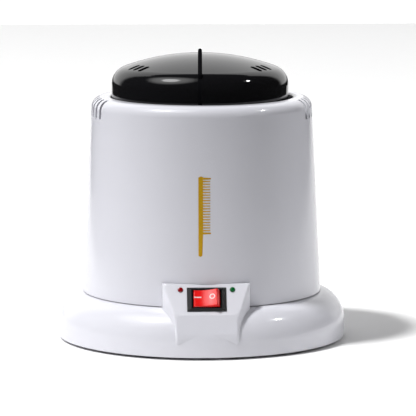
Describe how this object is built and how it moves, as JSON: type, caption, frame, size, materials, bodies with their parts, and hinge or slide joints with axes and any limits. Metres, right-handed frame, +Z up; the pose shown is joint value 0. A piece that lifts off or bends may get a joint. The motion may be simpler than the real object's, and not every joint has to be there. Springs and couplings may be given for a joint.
{
  "type": "bead steriliser pot",
  "caption": "Round electric bead steriliser for salon tools: heated well under a loose domed lid, tapered body on a wide base with a rocker switch and lamps.",
  "frame": {"origin": "on the pot's axis at the table surface, midway between the base's sides", "axes": "+Z up along the pot's axis, +Y from the switch pod towards the cord gland, +X to the right seen from the switch"},
  "size_m": [0.162, 0.162, 0.1625],
  "materials": {
    "white_abs": "glossy moulded ABS",
    "black_abs": "glossy moulded plastic",
    "floor_plastic": "textured moulding",
    "foot_rubber": "soft rubber",
    "zinc_screw": "zinc plated",
    "sheet_steel": "galvanised sheet",
    "pot_aluminium": "spun aluminium",
    "gasket_fibre": "pressed fibre",
    "heater_mica": "mica band in steel skin",
    "glass_wool": "glass wool",
    "phenolic": "phenolic moulding",
    "tinned_brass": "tinned brass",
    "fuse_case": "small metal case",
    "switch_black": "glossy nylon",
    "rocker_red": "glossy translucent red",
    "led_red": "tinted epoxy",
    "led_green": "tinted epoxy",
    "board": "glass-filled board",
    "resistor": "lacquered",
    "block_white": "nylon",
    "gland_black": "nylon",
    "wire_silicone": "silicone sleeve",
    "gold_print": "gold screen print",
    "white_print": "white pad print"
  },
  "bodies": {
    "pot": {"base_skirt": "white_abs", "body_shell": "white_abs", "bottom_plate": "floor_plastic", "rubber_feet": "foot_rubber", "plate_screws": "zinc_screw", "shell_screws": "zinc_screw", "support_plate": "sheet_steel", "support_screws": "zinc_screw", "heat_can": "sheet_steel", "inner_pot": "pot_aluminium", "pot_flange": "pot_aluminium", "flange_gasket": "gasket_fibre", "well_collar": "pot_aluminium", "collar_screws": "zinc_screw", "collar_nuts": "zinc_screw", "band_heater": "heater_mica", "heater_clamp_bolt": "zinc_screw", "insulation_sleeve": "glass_wool", "thermostat_cap": "fuse_case", "thermostat_body": "phenolic", "thermostat_terminals": "tinned_brass", "thermostat_screws": "zinc_screw", "thermal_fuse": "fuse_case", "fuse_clip": "sheet_steel", "fuse_clip_screw": "zinc_screw", "switch_housing": "switch_black", "switch_terminals": "tinned_brass", "red_led": "led_red", "green_led": "led_green", "led_board": "board", "board_resistors": "resistor", "board_screws": "zinc_screw", "terminal_block": "block_white", "clamp_screws": "zinc_screw", "earth_tag": "tinned_brass", "earth_screw": "zinc_screw", "cord_gland": "gland_black", "gland_nut": "gland_black", "switch_leads": "wire_silicone", "heater_leads": "wire_silicone", "lamp_leads": "wire_silicone", "earth_lead": "wire_silicone"},
    "lid": {"lid_dome": "black_abs", "lid_heat_shield": "pot_aluminium", "lid_screws": "zinc_screw"},
    "rocker": {"switch_rocker": "rocker_red", "rocker_plunger": "block_white", "rocker_spring": "zinc_screw"},
    "contact": {"switch_contact": "tinned_brass"}
  },
  "joints": [
    {"name": "lid_lift", "type": "slide", "parent": "pot", "child": "lid", "axis": [0, 0, 1], "range_m": [0, 0.1]},
    {"name": "rocker_tilt", "type": "hinge", "parent": "pot", "child": "rocker", "pos_m": [0, -0.07102, 0.03146], "axis": [0, 0.5787, 0.8155], "range_deg": [0, 21]},
    {"name": "contact_tilt", "type": "hinge", "parent": "pot", "child": "contact", "pos_m": [0, -0.06474, 0.027], "axis": [0, 0.5787, 0.8155], "range_deg": [-12.6, 0]}
  ],
  "couplings": [
    {"joint": "contact_tilt", "follows": "rocker_tilt", "ratio": -0.6}
  ]
}
